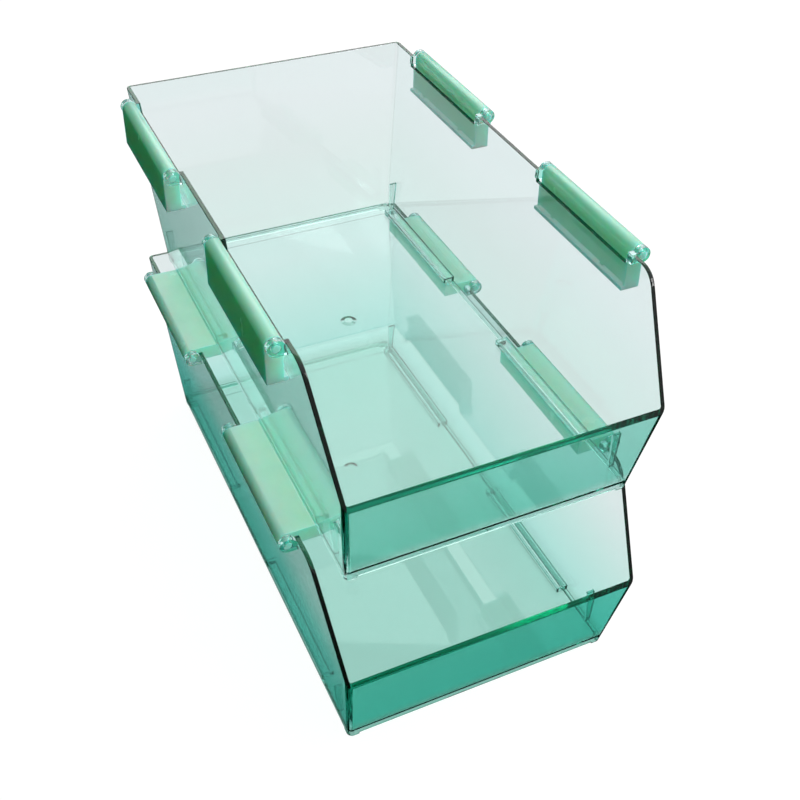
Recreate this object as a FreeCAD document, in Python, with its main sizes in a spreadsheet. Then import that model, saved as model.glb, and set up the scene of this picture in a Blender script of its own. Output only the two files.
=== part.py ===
"""Two stacked open-front bins, each with four fold-over support flaps along its side rims.

Frame: +Z up, -Y to the open front, origin on the supporting surface under the middle of the stack's box.
Sizes are in millimetres.
"""

import FreeCAD, Part
import math
import os
import Sketcher

from FreeCAD import Rotation, Vector

SHEET = "dims"

DRIVING = [
    ("rim_width", 200.0, "outside width across the side rims"),
    ("base_width", 175.0, "outside width at the feet"),
    ("base_depth", 340.0, "outside depth at the feet"),
    ("back_lean", 10.0, "how far the back wall leans out at the rim"),
    ("front_lean", 15.0, "how far the front wall leans out at its top"),
    ("rim_height", 134.0, "feet to rim"),
    ("front_height", 65.5, "feet to the top of the front wall"),
    ("slope_start", 148.0, "where the rim would meet the front slope, forward of the middle"),
    ("slope_round", 14.0, "radius between rim and front slope"),
    ("wall", 2.6, "wall thickness"),
    ("corner_round", 3.6, "outside radius of the upright corners"),
    ("foot_height", 2.0, "height of the four corner feet"),
    ("foot_length", 7.0, "length of each foot along the skirt"),
    ("floor_bottom", 5.2, "feet to the underside of the floor"),
    ("floor_thick", 2.4, "floor thickness"),
    ("flap_middle_rear", 102.0, "middle of the rear flaps, behind the middle of the bin"),
    ("flap_middle_front", 78.0, "middle of the front flaps, forward of the middle of the bin"),
    ("flap_length", 97.0, "length of a flap's body"),
    ("flap_gap", 0.5, "end play between a flap and each lug"),
    ("barrel_round", 4.8, "radius of the flap's barrel and half its thickness"),
    ("hinge_out", 5.0, "hinge axis outside the rim's outer edge"),
    ("hinge_drop", 2.0, "hinge axis below the rim"),
    ("lug_thick", 4.0, "thickness of a hinge lug"),
    ("pin_round", 2.25, "radius of the flap's stub pins"),
    ("pin_clearance", 0.05, "radial clearance of the pins in the lugs"),
    ("notch_clearance", 0.4, "gap under a flap lying in its notch"),
    ("platform", 20.5, "hinge axis to the end of the flap's platform"),
    ("slot_width", 1.2, "slot between platform and lip"),
    ("slot_depth", 6.6, "depth of that slot below the platform"),
    ("bridge", 3.0, "length of the bridges that cross the slot"),
    ("lip_thick", 2.5, "thickness of the lip at the flap's free edge"),
    ("lip_rise", 2.2, "height of the lip above the platform"),
    ("slot_end", 2.0, "solid length left at each end of the slot"),
    ("gusset_inset", 82.8, "middle of the bin to the upright edge of a corner gusset"),
    ("gusset_back", 15.0, "corner gusset behind or before the base's edge"),
    ("gusset_height", 24.0, "gusset height above the floor"),
    ("gusset_thick", 2.0, "gusset thickness"),
    ("channel_rise", 3.4, "height of the raised channels above the floor"),
    ("channel_reach", 78.0, "middle of the bin to a channel's inner side"),
    ("channel_skin", 1.8, "wall of a raised channel"),
    ("channel_extra", 3.0, "channel length beyond each end of a flap"),
    ("gate_back", 37.0, "the moulding gate's dimple behind the middle of the bin"),
    ("gate_round", 5.5, "radius of that dimple at the underside of the floor"),
    ("gate_depth", 1.1, "depth of that dimple"),
    ("gate_taper", 68.0, "slope of the dimple's side away from upright, in degrees"),
    ("stack_gap", 0.2, "gap between a platform and the skirt that rests on it"),
]

VALUES = {alias: value for alias, value, _ in DRIVING}
BRIDGE_PLACES = (0.18, 0.75)
SIDES = {"left": -1, "right": 1}
FLAP_ROWS = {"front": "-[flap_middle_front]", "rear": "[flap_middle_rear]"}
FLOOR_TOP = "([floor_bottom] + [floor_thick])"
CENTRING = "([front_lean] - [back_lean]) / 2"


def bound(text):
    """The expression with each alias written as the sheet's cell."""
    for alias in sorted(VALUES, key=len, reverse=True):
        text = text.replace(f"[{alias}]", f"{SHEET}.{alias}")
    return text


def half_width_at(height):
    """Outside half width of the bin at a height above the feet."""
    return f"([base_width] + ([rim_width] - [base_width]) * ({height}) / [rim_height]) / 2"


def front_at(height):
    """Y of the front wall's outer face at a height."""
    return f"-[base_depth] / 2 - [front_lean] * ({height}) / [front_height]"


def back_at(height):
    """Y of the back wall's outer face at a height."""
    return f"[base_depth] / 2 + [back_lean] * ({height}) / [rim_height]"


def make_sheet(doc):
    sheet = doc.addObject("Spreadsheet::Sheet", SHEET)
    for row, (alias, value, meaning) in enumerate(DRIVING, start=1):
        sheet.set(f"A{row}", meaning)
        sheet.set(f"B{row}", str(value))
        sheet.setAlias(f"B{row}", alias)
    doc.recompute()
    return sheet


def sketch_on(body, name, plane_role, offset=None):
    """A sketch on one of the body's origin planes, moved along the plane's normal."""
    sketch = body.newObject("Sketcher::SketchObject", name)
    plane = next(p for p in body.Origin.OriginFeatures if p.Role == plane_role)
    sketch.AttachmentSupport = [(plane, "")]
    sketch.MapMode = "FlatFace"
    if offset:
        sketch.setExpression("AttachmentOffset.Base.z", bound(offset))
    return sketch


def bind_point(sketch, geometry, point, x, y, label):
    for kind, text in (("DistanceX", x), ("DistanceY", y)):
        index = sketch.addConstraint(Sketcher.Constraint(kind, -1, 1, geometry, point, 1.0))
        name = f"{label}{kind[-1]}"
        sketch.renameConstraint(index, name)
        sketch.setExpression(f"Constraints.{name}", bound(text))


def add_polygon(sketch, corners, label="p"):
    """A closed outline whose corners are pairs of expressions."""
    count = len(corners)
    first = sketch.GeometryCount
    ring = [
        Vector(math.cos(2 * math.pi * i / count), math.sin(2 * math.pi * i / count), 0)
        for i in range(count)
    ]
    for i in range(count):
        sketch.addGeometry(Part.LineSegment(ring[i], ring[(i + 1) % count]), False)
    for i in range(count):
        sketch.addConstraint(
            Sketcher.Constraint("Coincident", first + i, 2, first + (i + 1) % count, 1)
        )
    for i, (x, y) in enumerate(corners):
        bind_point(sketch, first + i, 1, x, y, f"{label}{first}_{i}")


def add_rectangle(sketch, low_x, high_x, low_y, high_y):
    corners = [(low_x, low_y), (high_x, low_y), (high_x, high_y), (low_x, high_y)]
    add_polygon(sketch, corners, "r")


def add_circle(sketch, x, y, radius):
    geometry = sketch.addGeometry(Part.Circle(Vector(), Vector(0, 0, 1), 1.0), False)
    bind_point(sketch, geometry, 3, x, y, f"c{geometry}")
    index = sketch.addConstraint(Sketcher.Constraint("Radius", geometry, 1.0))
    name = f"c{geometry}R"
    sketch.renameConstraint(index, name)
    sketch.setExpression(f"Constraints.{name}", bound(radius))


def extrude(body, kind, name, sketch, length, symmetric=False, reverse=False):
    """A Pad or a Pocket of the sketch."""
    feature = body.newObject(f"PartDesign::{kind}", name)
    feature.Profile = sketch
    feature.Type = 0
    feature.setExpression("Length", bound(length))
    if symmetric:
        feature.SideType = "Symmetric"
    feature.Reversed = reverse
    return feature


def round_edges(body, name, base, test, radius):
    """Rounds the edges of the base feature that pass the test."""
    body.Document.recompute()
    chosen = [f"Edge{i}" for i, edge in enumerate(base.Shape.Edges, start=1) if test(edge)]
    feature = body.newObject("PartDesign::Fillet", name)
    feature.Base = (base, chosen)
    feature.setExpression("Radius", bound(radius))
    return feature


def is_upright(edge):
    """A straight edge that climbs from one end of a block to the other."""
    run = edge.Vertexes[1].Point - edge.Vertexes[0].Point
    return abs(run.z) > VALUES["rim_height"] / 2


def make_block(body, bottom, inset, radius):
    """A block with leaning sides and rounded upright corners, from a height up to the rim."""
    ends = (bottom, "[rim_height]")
    low, high = (f"({half_width_at(height)} - {inset})" for height in ends)
    across = sketch_on(body, "across", "XZ_Plane")
    add_polygon(across, [(f"-{low}", ends[0]), (low, ends[0]), (high, ends[1]), (f"-{high}", ends[1])])
    extrude(body, "Pad", "block", across, "3 * [base_depth]", symmetric=True)

    along = sketch_on(body, "along", "YZ_Plane")
    for wall_at, sign in ((front_at, "-"), (back_at, "")):
        far = f"{sign}2 * [base_depth]"
        low, high = (f"{wall_at(height)} - {sign}{inset}" for height in ends)
        add_polygon(along, [(low, ends[0]), (high, ends[1]), (far, ends[1]), (far, ends[0])])
    block = extrude(body, "Pocket", "trim", along, "2 * [rim_width]", symmetric=True)
    return round_edges(body, "corners", block, is_upright, radius)


def make_shell(body):
    """Outer and inner walls of the tray, full height all round."""
    make_block(body, "0", "0", "[corner_round]")
    core = body.Document.addObject("PartDesign::Body", f"{body.Name}_core")
    make_block(core, FLOOR_TOP, "[wall]", "[corner_round] - [wall]")
    hollow = body.newObject("PartDesign::Boolean", "cavity")
    hollow.Type = "Cut"
    hollow.setObjects([core])


def open_front(body):
    """Cuts the rim down along the slope to the low front wall, and cuts the flap notches."""
    above = "[rim_height] + 20"
    ahead = "-[base_depth]"
    sketch = sketch_on(body, "front_opening", "YZ_Plane")
    add_polygon(
        sketch,
        [
            ("-[slope_start]", "[rim_height]"),
            (front_at("[front_height]"), "[front_height]"),
            (ahead, "[front_height]"),
            (ahead, above),
            ("-[slope_start]", above),
        ],
    )
    cut = extrude(body, "Pocket", "front_cut", sketch, "2 * [rim_width]", symmetric=True)

    def is_shoulder(edge):
        middle = edge.CenterOfMass
        level = abs(middle.z - VALUES["rim_height"]) < 0.01
        return level and abs(middle.y + VALUES["slope_start"]) < 0.01

    cut = round_edges(body, "shoulders", cut, is_shoulder, "[slope_round]")

    notches = sketch_on(body, "notch_outline", "YZ_Plane")
    bottom = "[rim_height] - [hinge_drop] - [barrel_round] - [notch_clearance]"
    half = "([flap_length] / 2 + [flap_gap])"
    for middle in FLAP_ROWS.values():
        add_rectangle(notches, f"{middle} - {half}", f"{middle} + {half}", bottom, above)
    return extrude(body, "Pocket", "notches", notches, "2 * [rim_width]", symmetric=True)


def add_lugs(body):
    """Round lugs outside the rim at both ends of every notch, bored for the flaps' stub pins."""
    axis_x = "([rim_width] / 2 + [hinge_out])"
    axis_z = "([rim_height] - [hinge_drop])"
    root = f"({half_width_at('[rim_height] - 2 * [hinge_drop]')} - [wall] / 2)"
    reach = "([flap_length] / 2 + [flap_gap] + [lug_thick] / 2)"
    for row, middle in FLAP_ROWS.items():
        for end, sign in (("front", "-"), ("back", "+")):
            tag = f"{row}_{end}"
            place = f"-({middle} {sign} {reach})"
            discs = sketch_on(body, f"lug_disc_{tag}", "XZ_Plane", place)
            webs = sketch_on(body, f"lug_web_{tag}", "XZ_Plane", place)
            bores = sketch_on(body, f"lug_bore_{tag}", "XZ_Plane", place)
            for side in ("-", ""):
                add_circle(discs, f"{side}{axis_x}", axis_z, "[barrel_round]")
                add_circle(bores, f"{side}{axis_x}", axis_z, "[pin_round] + [pin_clearance]")
                near, far = f"{side}{root}", f"{side}{axis_x}"
                add_polygon(
                    webs,
                    [
                        (near, f"{axis_z} - [barrel_round]"),
                        (far, f"{axis_z} - [barrel_round]"),
                        (far, "[rim_height]"),
                        (near, "[rim_height]"),
                    ],
                    "w",
                )
            extrude(body, "Pad", f"lug_{tag}", discs, "[lug_thick]", symmetric=True)
            extrude(body, "Pad", f"web_{tag}", webs, "[lug_thick]", symmetric=True)
            extrude(body, "Pocket", f"bore_{tag}", bores, "2 * [lug_thick]", symmetric=True)


def add_gussets(body):
    """Four small upright plates between floor and side walls near the corners."""
    top = f"({FLOOR_TOP} + [gusset_height])"
    low = f"({FLOOR_TOP} - [floor_thick] / 2)"
    for tag, sign in (("front", ""), ("rear", "-")):
        place = f"{sign}([base_depth] / 2 - [gusset_back])"
        sketch = sketch_on(body, f"gusset_outline_{tag}", "XZ_Plane", place)
        for side in ("-", ""):
            add_polygon(
                sketch,
                [
                    (f"{side}[gusset_inset]", low),
                    (f"{side}({half_width_at(low)} - [wall] / 2)", low),
                    (f"{side}({half_width_at(top)} - [wall] / 2)", top),
                    (f"{side}[gusset_inset]", top),
                ],
                "g",
            )
        extrude(body, "Pad", f"gussets_{tag}", sketch, "[gusset_thick]", symmetric=True)


def add_channels(body):
    """Raised channels beside the walls, hollow from below, where the flaps' lips of the bin below go."""
    half = "([flap_length] / 2 + [channel_extra])"
    roof = sketch_on(body, "channel_roof", "XY_Plane", "[floor_bottom]")
    hollow = sketch_on(body, "channel_hollow", "XY_Plane")
    skirt = "([base_width] / 2 - [wall])"
    inner = "([channel_reach] + [channel_skin])"
    for middle in FLAP_ROWS.values():
        low, high = f"{middle} - {half}", f"{middle} + {half}"
        skin = "[channel_skin]"
        for side in ("-", ""):
            add_rectangle(roof, f"{side}[channel_reach]", f"{side}({skirt} + [wall] / 2)", low, high)
            add_rectangle(hollow, f"{side}{inner}", f"{side}{skirt}", f"{low} + {skin}", f"{high} - {skin}")
    extrude(body, "Pad", "channels", roof, "[floor_thick] + [channel_rise]")
    depth = f"{FLOOR_TOP} + [channel_rise] - [channel_skin]"
    extrude(body, "Pocket", "channel_hollows", hollow, depth, reverse=True)


def cut_underside(body):
    """Hollows the underside to leave a skirt, lifts the skirt between the feet, and marks the gate."""
    sketch = sketch_on(body, "underside", "XY_Plane")
    half_x, half_y = "([base_width] / 2 - [wall])", "([base_depth] / 2 - [wall])"
    add_rectangle(sketch, f"-{half_x}", half_x, f"-{half_y}", half_y)
    extrude(body, "Pocket", "underside_cut", sketch, "[floor_bottom]", reverse=True)
    beyond_x, beyond_y = "[base_width]", "[base_depth]"
    foot_x, foot_y = "([base_width] / 2 - [foot_length])", "([base_depth] / 2 - [foot_length])"
    for tag, x, y in (("ends", foot_x, beyond_y), ("sides", beyond_x, foot_y)):
        sketch = sketch_on(body, f"skirt_{tag}", "XY_Plane")
        add_rectangle(sketch, f"-{x}", x, f"-{y}", y)
        extrude(body, "Pocket", f"skirt_lift_{tag}", sketch, "[foot_height]", reverse=True)
    gate = sketch_on(body, "gate_outline", "XY_Plane", "[floor_bottom]")
    add_circle(gate, "0", "[gate_back]", "[gate_round]")
    dimple = extrude(body, "Pocket", "gate", gate, "[gate_depth]", reverse=True)
    dimple.setExpression("TaperAngle", bound("-[gate_taper]"))


def make_bin(doc, label, lift):
    body = doc.addObject("PartDesign::Body", label)
    make_shell(body)
    open_front(body)
    cut_underside(body)
    add_channels(body)
    add_gussets(body)
    add_lugs(body)
    body.Label = label
    body.setExpression("Placement.Base.y", bound(CENTRING))
    body.setExpression("Placement.Base.z", bound(lift))
    return body


def make_flap(doc, label, side, row, hanging, lift):
    """A flap in its own frame: the hinge axis is Y, the platform points along +X, its top is +Z."""
    body = doc.addObject("PartDesign::Body", label)
    body.Label = label
    outline = sketch_on(body, "outline", "XZ_Plane")
    lip_near = "([platform] + [slot_width])"
    edge = f"({lip_near} + [lip_thick])"
    lip_top = "([barrel_round] + [lip_rise])"
    add_polygon(
        outline,
        [
            ("0", "-[barrel_round]"),
            (edge, "-[barrel_round]"),
            (edge, lip_top),
            (lip_near, lip_top),
            (lip_near, "[barrel_round]"),
            ("0", "[barrel_round]"),
        ],
    )
    extrude(body, "Pad", "plate", outline, "[flap_length]", symmetric=True)
    for name, radius, length in (
        ("barrel", "[barrel_round]", "[flap_length]"),
        ("pins", "[pin_round]", "[flap_length] + 2 * ([flap_gap] + [lug_thick])"),
    ):
        circle = sketch_on(body, f"{name}_outline", "XZ_Plane")
        add_circle(circle, "0", "0", radius)
        extrude(body, "Pad", name, circle, length, symmetric=True)

    slot = sketch_on(body, "slot_outline", "XY_Plane", "[barrel_round]")
    end = "([flap_length] / 2 - [slot_end])"
    stops = [f"-{end}"]
    for place in BRIDGE_PLACES:
        middle = f"({place - 0.5} * [flap_length])"
        stops += [f"{middle} - [bridge] / 2", f"{middle} + [bridge] / 2"]
    stops.append(end)
    for low, high in zip(stops[::2], stops[1::2]):
        add_rectangle(slot, "[platform]", lip_near, low, high)
    extrude(body, "Pocket", "slot", slot, "[slot_depth]")

    axis_x = f"{SIDES[side]} * ([rim_width] / 2 + [hinge_out])"
    body.setExpression("Placement.Base.x", bound(axis_x))
    body.setExpression("Placement.Base.y", bound(f"{FLAP_ROWS[row]} + {CENTRING}"))
    body.setExpression("Placement.Base.z", bound(f"[rim_height] - [hinge_drop] + {lift}"))
    turn = Rotation(Vector(0, 0, 1), 180) if side == "right" else Rotation()
    if hanging:
        turn = Rotation(Vector(0, 1, 0), -90 * SIDES[side]) * turn
    body.Placement.Rotation = turn
    return body


def check(doc, parts):
    """Stops if any feature failed or any sub-part isn't one sound solid."""
    failed = [o.Name for o in doc.Objects if {"Invalid", "Error"} & set(o.State)]
    if failed:
        raise RuntimeError(f"features failed: {failed}")
    for part in parts:
        shape = part.Shape
        if shape.isNull() or not shape.isValid() or len(shape.Solids) != 1:
            raise RuntimeError(f"{part.Label} isn't one valid solid")
        print(f"{part.Label}: {shape.Volume / 1000:.1f} cm3, {len(shape.Faces)} faces")


def main():
    doc = FreeCAD.newDocument("stacking_bins")
    make_sheet(doc)
    pitch = "([rim_height] - [hinge_drop] + [barrel_round] + [stack_gap] - [foot_height])"
    parts = []
    for level, lift, hanging in (("lower", "0", False), ("upper", pitch, True)):
        parts.append(make_bin(doc, f"{level}_bin", lift))
        for side in SIDES:
            for row in FLAP_ROWS:
                parts.append(make_flap(doc, f"{level}_{side}_{row}_flap", side, row, hanging, lift))
    doc.recompute()
    check(doc, parts)
    os.makedirs("parts", exist_ok=True)
    for part in parts:
        part.Shape.exportStep(f"parts/{part.Label}.step")


main()
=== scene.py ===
"""Looks for the two stacked clear fridge bins with their milky green support flaps."""

import math

import bpy
from mathutils import Matrix, Vector


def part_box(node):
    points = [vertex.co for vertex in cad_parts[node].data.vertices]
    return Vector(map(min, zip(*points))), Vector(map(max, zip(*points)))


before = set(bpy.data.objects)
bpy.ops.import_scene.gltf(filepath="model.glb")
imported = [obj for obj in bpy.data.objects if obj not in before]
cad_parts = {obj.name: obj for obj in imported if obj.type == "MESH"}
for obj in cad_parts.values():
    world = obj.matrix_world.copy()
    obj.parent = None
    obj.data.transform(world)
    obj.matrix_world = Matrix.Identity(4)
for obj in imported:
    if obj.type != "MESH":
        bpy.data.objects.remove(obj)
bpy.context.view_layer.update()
MM = 0.001

# The view: angles in degrees, distances in metres, the lens in millimetres.
VIEW_AZIMUTH = -26.4
VIEW_ELEVATION = 35.9
VIEW_ROLL = 1.7
VIEW_DISTANCE = 0.798
VIEW_AIM = Vector((0.0431, 0.0110, 0.150))
LENS = 53.97
SHIFT = (-0.031, -0.102)

# The light: grey levels of the world along the way the light comes from, and by height near
# the horizon, then the two softboxes, which both point at the middle of the stack.
LIGHT_FROM = (0.55, 0.0, 0.85)
SKY = ((0.0, 0.0), (0.15, 0.05), (0.5, 0.65), (1.0, 1.05))
HORIZON = 0.1
HORIZON_BAND = ((0.0, 0.0), (0.40, 0.0), (0.42, 1.0), (0.56, 1.0), (0.60, 0.0))
STACK_MIDDLE = Vector((0, 0, 0.15))
SOFTBOXES = {
    "back_softbox": {"place": (0.58, 1.17, 1.09), "size": (1.2, 0.9), "power": 5.5},
    "key_softbox": {"place": (0.95, -1.2, 1.1), "size": (0.8, 0.8), "power": 11.5},
}
LIGHT_BOUNCES = 64
DIFFUSE_BOUNCES = 4

# The floor is a large sheet just under the feet.
FLOOR_HALF = 40.0
FLOOR_DROP = 0.2 * MM
FLOOR_GREY = 0.2
FLOOR_GLOW = 0.86

# The clear plastic: its tint at the floor of a bin and at three heights of the walls. Much of it
# is painted shade: the green deepens towards the bottom, in the lower bin and in the front and
# left walls, and the left walls carry painted shade low down and painted light higher up.
FLOOR_HEIGHT = 0.006
TINT_HEIGHTS = (0.016, 0.060, 0.105)
FLOOR_TINT_AND_SHADE = {"lower_bin": (0.36, 0.61, 0.54), "upper_bin": (0.80, 0.87, 0.85)}
FAR_TINT_AND_SHADE = {
    "lower_bin": ((0.52, 0.79, 0.75), (0.68, 0.82, 0.80), (0.87, 0.84, 0.86)),
    "upper_bin": ((0.80, 0.85, 0.84), (0.82, 0.83, 0.83), (0.86, 0.84, 0.86)),
}
LEFT_TINT_SHADE_AND_LIGHT = {
    "lower_bin": ((0.26, 0.86, 0.77), (0.42, 0.93, 0.87), (0.95, 1.0, 1.0)),
    "upper_bin": ((0.75, 0.98, 0.92), (0.87, 1.0, 0.97), (0.90, 1.0, 0.98)),
}
FRONT_TINT_AND_SHADE = {
    "lower_bin": ((0.18, 0.72, 0.62), (0.20, 0.72, 0.62), (0.20, 0.72, 0.62)),
    "upper_bin": ((0.42, 0.80, 0.72), (0.48, 0.82, 0.75), (0.48, 0.82, 0.75)),
}
# How squarely a face must meet its axis, and the blend across the middle, for the masks of the
# painted front and left walls.
PAINTED_WALL_FACING = (0.5, 0.9)
PAINTED_WALL_BLEND = 0.02
CLEAR_IOR = 1.49
CLEAR_ROUGHNESS = 0.02
EDGE_COLOUR = (0.0, 0.76, 0.66)
EDGE_DENSITY = 50.0

# The milky plastic: red light hardly spreads in it, so its shaded faces are deep green.
MILKY_SHADES = ((0.3, (0.37, 0.72, 0.54)), (0.7, (0.41, 0.75, 0.57)))
CLOUD_SCALE = 60
CLOUD_DETAIL = 6
MILKY_ROUGHNESS = (0.22, 0.30)
MILKY_SPECULAR = 0.8
MILKY_SPREAD = (0.01, 1.0, 0.7)
MILKY_DEPTH = 0.02

# The clean-up and the rounding of the CAD edges.
WELD_DISTANCE = 0.01 * MM
FLAT_ANGLE = 0.3
EDGE_WIDTH = 0.4 * MM
EDGE_SEGMENTS = 3
EDGE_ANGLE = 40


def make_camera():
    """The camera on a line from the aim point, rolled a little and shifted to frame the stack."""
    az, el, roll = (math.radians(a) for a in (VIEW_AZIMUTH, VIEW_ELEVATION, VIEW_ROLL))
    back = Vector((math.sin(az) * math.cos(el), -math.cos(az) * math.cos(el), math.sin(el)))
    right = Vector((math.cos(az), math.sin(az), 0))
    up = back.cross(right)
    across = right * math.cos(roll) + up * math.sin(roll)
    upward = up * math.cos(roll) - right * math.sin(roll)
    data = bpy.data.cameras.new("camera")
    data.lens = LENS
    data.shift_x, data.shift_y = SHIFT
    camera = bpy.data.objects.new("camera", data)
    bpy.context.scene.collection.objects.link(camera)
    place = Matrix((across, upward, back)).transposed().to_4x4()
    place.translation = VIEW_AIM + back * VIEW_DISTANCE
    camera.matrix_world = place
    bpy.context.scene.camera = camera


def add_range(tree, source, start, end, low=0.0, high=1.0):
    """A value that runs from low to high while the source runs from start to end."""
    node = tree.nodes.new("ShaderNodeMapRange")
    node.inputs["From Min"].default_value = start
    node.inputs["From Max"].default_value = end
    node.inputs["To Min"].default_value = low
    node.inputs["To Max"].default_value = high
    tree.links.new(source, node.inputs["Value"])
    return node.outputs["Result"]


def add_ramp(tree, value, stops):
    """Colours along a value: each stop is a place between 0 and 1 and its colour."""
    ramp = tree.nodes.new("ShaderNodeValToRGB")
    elements = ramp.color_ramp.elements
    while len(elements) < len(stops):
        elements.new(1.0)
    for element, (place, colour) in zip(elements, stops):
        element.position = place
        element.color = (*colour, 1)
    tree.links.new(value, ramp.inputs["Fac"])
    return ramp.outputs["Color"]


def add_greys(tree, value, levels):
    """Grey levels along a value."""
    return add_ramp(tree, value, [(place, (level,) * 3) for place, level in levels])


def add_math(tree, operation, *sources):
    """One operation on one or two values."""
    node = tree.nodes.new("ShaderNodeMath")
    node.operation = operation
    for socket, source in zip(node.inputs, sources):
        tree.links.new(source, socket)
    return node.outputs["Value"]


def add_mix(tree, factor, first, second):
    """The first colour where the factor is 0, and the second where it is 1."""
    mix = tree.nodes.new("ShaderNodeMix")
    mix.data_type = "RGBA"
    tree.links.new(factor, mix.inputs["Factor"])
    tree.links.new(first, mix.inputs["A"])
    tree.links.new(second, mix.inputs["B"])
    return mix.outputs["Result"]


def add_parts(tree, vector):
    """The three parts of a vector, as the outputs X, Y and Z."""
    split = tree.nodes.new("ShaderNodeSeparateXYZ")
    tree.links.new(vector, split.inputs["Vector"])
    return split.outputs


def make_world():
    """A soft light from overhead and the right, with a thin white band where the floor ends."""
    world = bpy.data.worlds.new("studio")
    world.use_nodes = True
    tree = world.node_tree
    direction = tree.nodes.new("ShaderNodeTexCoord").outputs["Generated"]
    towards = tree.nodes.new("ShaderNodeVectorMath")
    towards.operation = "DOT_PRODUCT"
    towards.inputs[1].default_value = Vector(LIGHT_FROM).normalized()
    tree.links.new(direction, towards.inputs[0])
    sky = add_greys(tree, towards.outputs["Value"], SKY)
    height = add_range(tree, add_parts(tree, direction)["Z"], -HORIZON, HORIZON)
    total = tree.nodes.new("ShaderNodeMix")
    total.data_type = "RGBA"
    total.blend_type = "LIGHTEN"
    total.inputs["Factor"].default_value = 1.0
    tree.links.new(sky, total.inputs["A"])
    tree.links.new(add_greys(tree, height, HORIZON_BAND), total.inputs["B"])
    tree.links.new(total.outputs["Result"], tree.nodes["Background"].inputs["Color"])
    bpy.context.scene.world = world


def make_softbox(name, place, size, power):
    """A lamp that points at the stack. It casts no shadow, as the clear walls would block it."""
    data = bpy.data.lights.new(name, "AREA")
    data.shape = "RECTANGLE"
    data.size, data.size_y = size
    data.energy = power
    data.use_shadow = False
    light = bpy.data.objects.new(name, data)
    light.location = place
    light.rotation_euler = (Vector(place) - STACK_MIDDLE).to_track_quat("Z", "Y").to_euler()
    bpy.context.scene.collection.objects.link(light)


def make_floor():
    """A pale glowing floor, kept out of reflections and off the shaded sides of the flaps."""
    mesh = bpy.data.meshes.new("floor")
    corners = [
        (x * FLOOR_HALF, y * FLOOR_HALF, 0) for x, y in ((-1, -1), (1, -1), (1, 1), (-1, 1))
    ]
    mesh.from_pydata(corners, [], [range(4)])
    floor = bpy.data.objects.new("floor", mesh)
    bpy.context.scene.collection.objects.link(floor)
    floor.location.z = -FLOOR_DROP
    material = bpy.data.materials.new("floor_paper")
    material.use_nodes = True
    shader = material.node_tree.nodes["Principled BSDF"]
    shader.inputs["Base Color"].default_value = (FLOOR_GREY, FLOOR_GREY, FLOOR_GREY, 1)
    shader.inputs["Emission Color"].default_value = (1, 1, 1, 1)
    shader.inputs["Emission Strength"].default_value = FLOOR_GLOW
    shader.inputs["Roughness"].default_value = 0.9
    shader.inputs["Specular IOR Level"].default_value = 0.1
    mesh.materials.append(material)
    floor.visible_glossy = False
    floor.visible_diffuse = False


def add_painted_wall_mask(tree, facing, place):
    """A mask for the wall that faces along one axis and lies at the axis's low end, where the
    painted shade and light of the front and left walls go.
    """
    turned = add_range(tree, add_math(tree, "ABSOLUTE", facing), *PAINTED_WALL_FACING)
    near = add_range(tree, place, PAINTED_WALL_BLEND, -PAINTED_WALL_BLEND)
    return add_math(tree, "MULTIPLY", turned, near)


def clear_with_painted_shade(name):
    """Clear green plastic with painted shade: deeper green towards the bottom, in the floor of
    the lower bin and in the front and left walls, and painted light higher on the left walls.
    """
    low, high = (corner.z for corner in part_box(name))
    # The material of a bin's clear plastic, carrying its painted shade and light.
    material = bpy.data.materials.new(f"{name}_clear")
    material.use_nodes = True
    tree = material.node_tree
    shader = tree.nodes["Principled BSDF"]
    coords = tree.nodes.new("ShaderNodeTexCoord")
    place = add_parts(tree, coords.outputs["Object"])
    facing = add_parts(tree, coords.outputs["Normal"])
    height = add_range(tree, place["Z"], low, high)
    levels = [level / (high - low) for level in (FLOOR_HEIGHT, *TINT_HEIGHTS)]
    # Tints by height for the far, left and front walls, darker towards the bottom: painted shade,
    # with painted light high on the left walls.
    far_tint_and_shade, left_tint_shade_and_light, front_tint_and_shade = (
        add_ramp(tree, height, list(zip(levels, (FLOOR_TINT_AND_SHADE[name], *tints[name]))))
        for tints in (FAR_TINT_AND_SHADE, LEFT_TINT_SHADE_AND_LIGHT, FRONT_TINT_AND_SHADE)
    )
    # Masks of the left and front walls, which take the painted shade and light.
    left = add_painted_wall_mask(tree, facing["X"], place["X"])
    front = add_painted_wall_mask(tree, facing["Y"], place["Y"])
    sides = add_mix(tree, left, far_tint_and_shade, left_tint_shade_and_light)
    tree.links.new(add_mix(tree, front, sides, front_tint_and_shade), shader.inputs["Base Color"])
    shader.inputs["Transmission Weight"].default_value = 1.0
    shader.inputs["IOR"].default_value = CLEAR_IOR
    shader.inputs["Roughness"].default_value = CLEAR_ROUGHNESS
    absorb = tree.nodes.new("ShaderNodeVolumeAbsorption")
    absorb.inputs["Color"].default_value = (*EDGE_COLOUR, 1)
    absorb.inputs["Density"].default_value = EDGE_DENSITY
    tree.links.new(absorb.outputs["Volume"], tree.nodes["Material Output"].inputs["Volume"])
    return material


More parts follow.
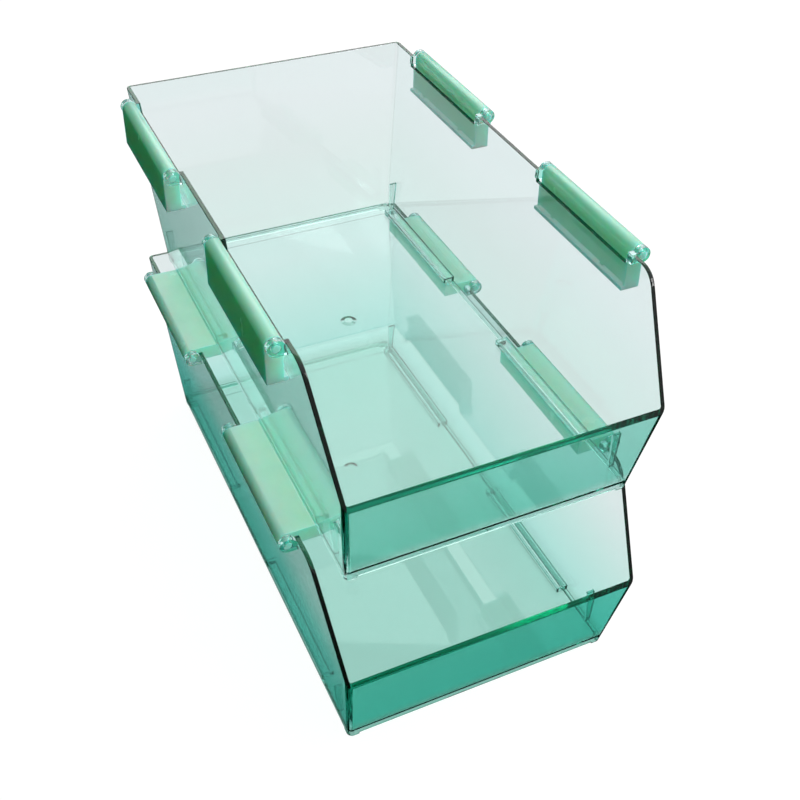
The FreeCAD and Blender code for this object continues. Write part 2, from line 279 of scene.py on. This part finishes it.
def milky_green():
    """Milky green plastic with faint clouding and an uneven gloss."""
    material = bpy.data.materials.new("milky_green")
    material.use_nodes = True
    tree = material.node_tree
    shader = tree.nodes["Principled BSDF"]
    coords = tree.nodes.new("ShaderNodeTexCoord")
    noise = tree.nodes.new("ShaderNodeTexNoise")
    noise.inputs["Scale"].default_value = CLOUD_SCALE
    noise.inputs["Detail"].default_value = CLOUD_DETAIL
    tree.links.new(coords.outputs["Object"], noise.inputs["Vector"])
    cloud = noise.outputs["Fac"]
    tree.links.new(add_ramp(tree, cloud, MILKY_SHADES), shader.inputs["Base Color"])
    tree.links.new(add_range(tree, cloud, 0, 1, *MILKY_ROUGHNESS), shader.inputs["Roughness"])
    shader.inputs["Specular IOR Level"].default_value = MILKY_SPECULAR
    shader.inputs["Subsurface Weight"].default_value = 1.0
    shader.inputs["Subsurface Radius"].default_value = MILKY_SPREAD
    shader.inputs["Subsurface Scale"].default_value = MILKY_DEPTH
    shader.subsurface_method = "RANDOM_WALK"
    return material


def dress(node, material):
    """Give a CAD node its material, merge its flat faces and round its edges."""
    node.data.materials.clear()
    node.data.materials.append(material)
    weld = node.modifiers.new("weld", "WELD")
    weld.merge_threshold = WELD_DISTANCE
    flat = node.modifiers.new("flat", "DECIMATE")
    flat.decimate_type = "DISSOLVE"
    flat.angle_limit = math.radians(FLAT_ANGLE)
    edge = node.modifiers.new("edge", "BEVEL")
    edge.width = EDGE_WIDTH
    edge.segments = EDGE_SEGMENTS
    edge.limit_method = "ANGLE"
    edge.angle_limit = math.radians(EDGE_ANGLE)
    edge.use_clamp_overlap = False
    edge.harden_normals = True


def set_light_paths():
    """Plain colours, and enough bounces to see through every wall of the stack."""
    scene = bpy.context.scene
    scene.view_settings.view_transform = "Standard"
    scene.cycles.max_bounces = LIGHT_BOUNCES
    scene.cycles.transmission_bounces = LIGHT_BOUNCES
    scene.cycles.glossy_bounces = LIGHT_BOUNCES
    scene.cycles.transparent_max_bounces = LIGHT_BOUNCES
    scene.cycles.diffuse_bounces = DIFFUSE_BOUNCES


make_camera()
make_world()
make_floor()
for name, softbox in SOFTBOXES.items():
    make_softbox(name, **softbox)
milky = milky_green()
for name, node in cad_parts.items():
    dress(node, clear_with_painted_shade(name) if name.endswith("_bin") else milky)
set_light_paths()
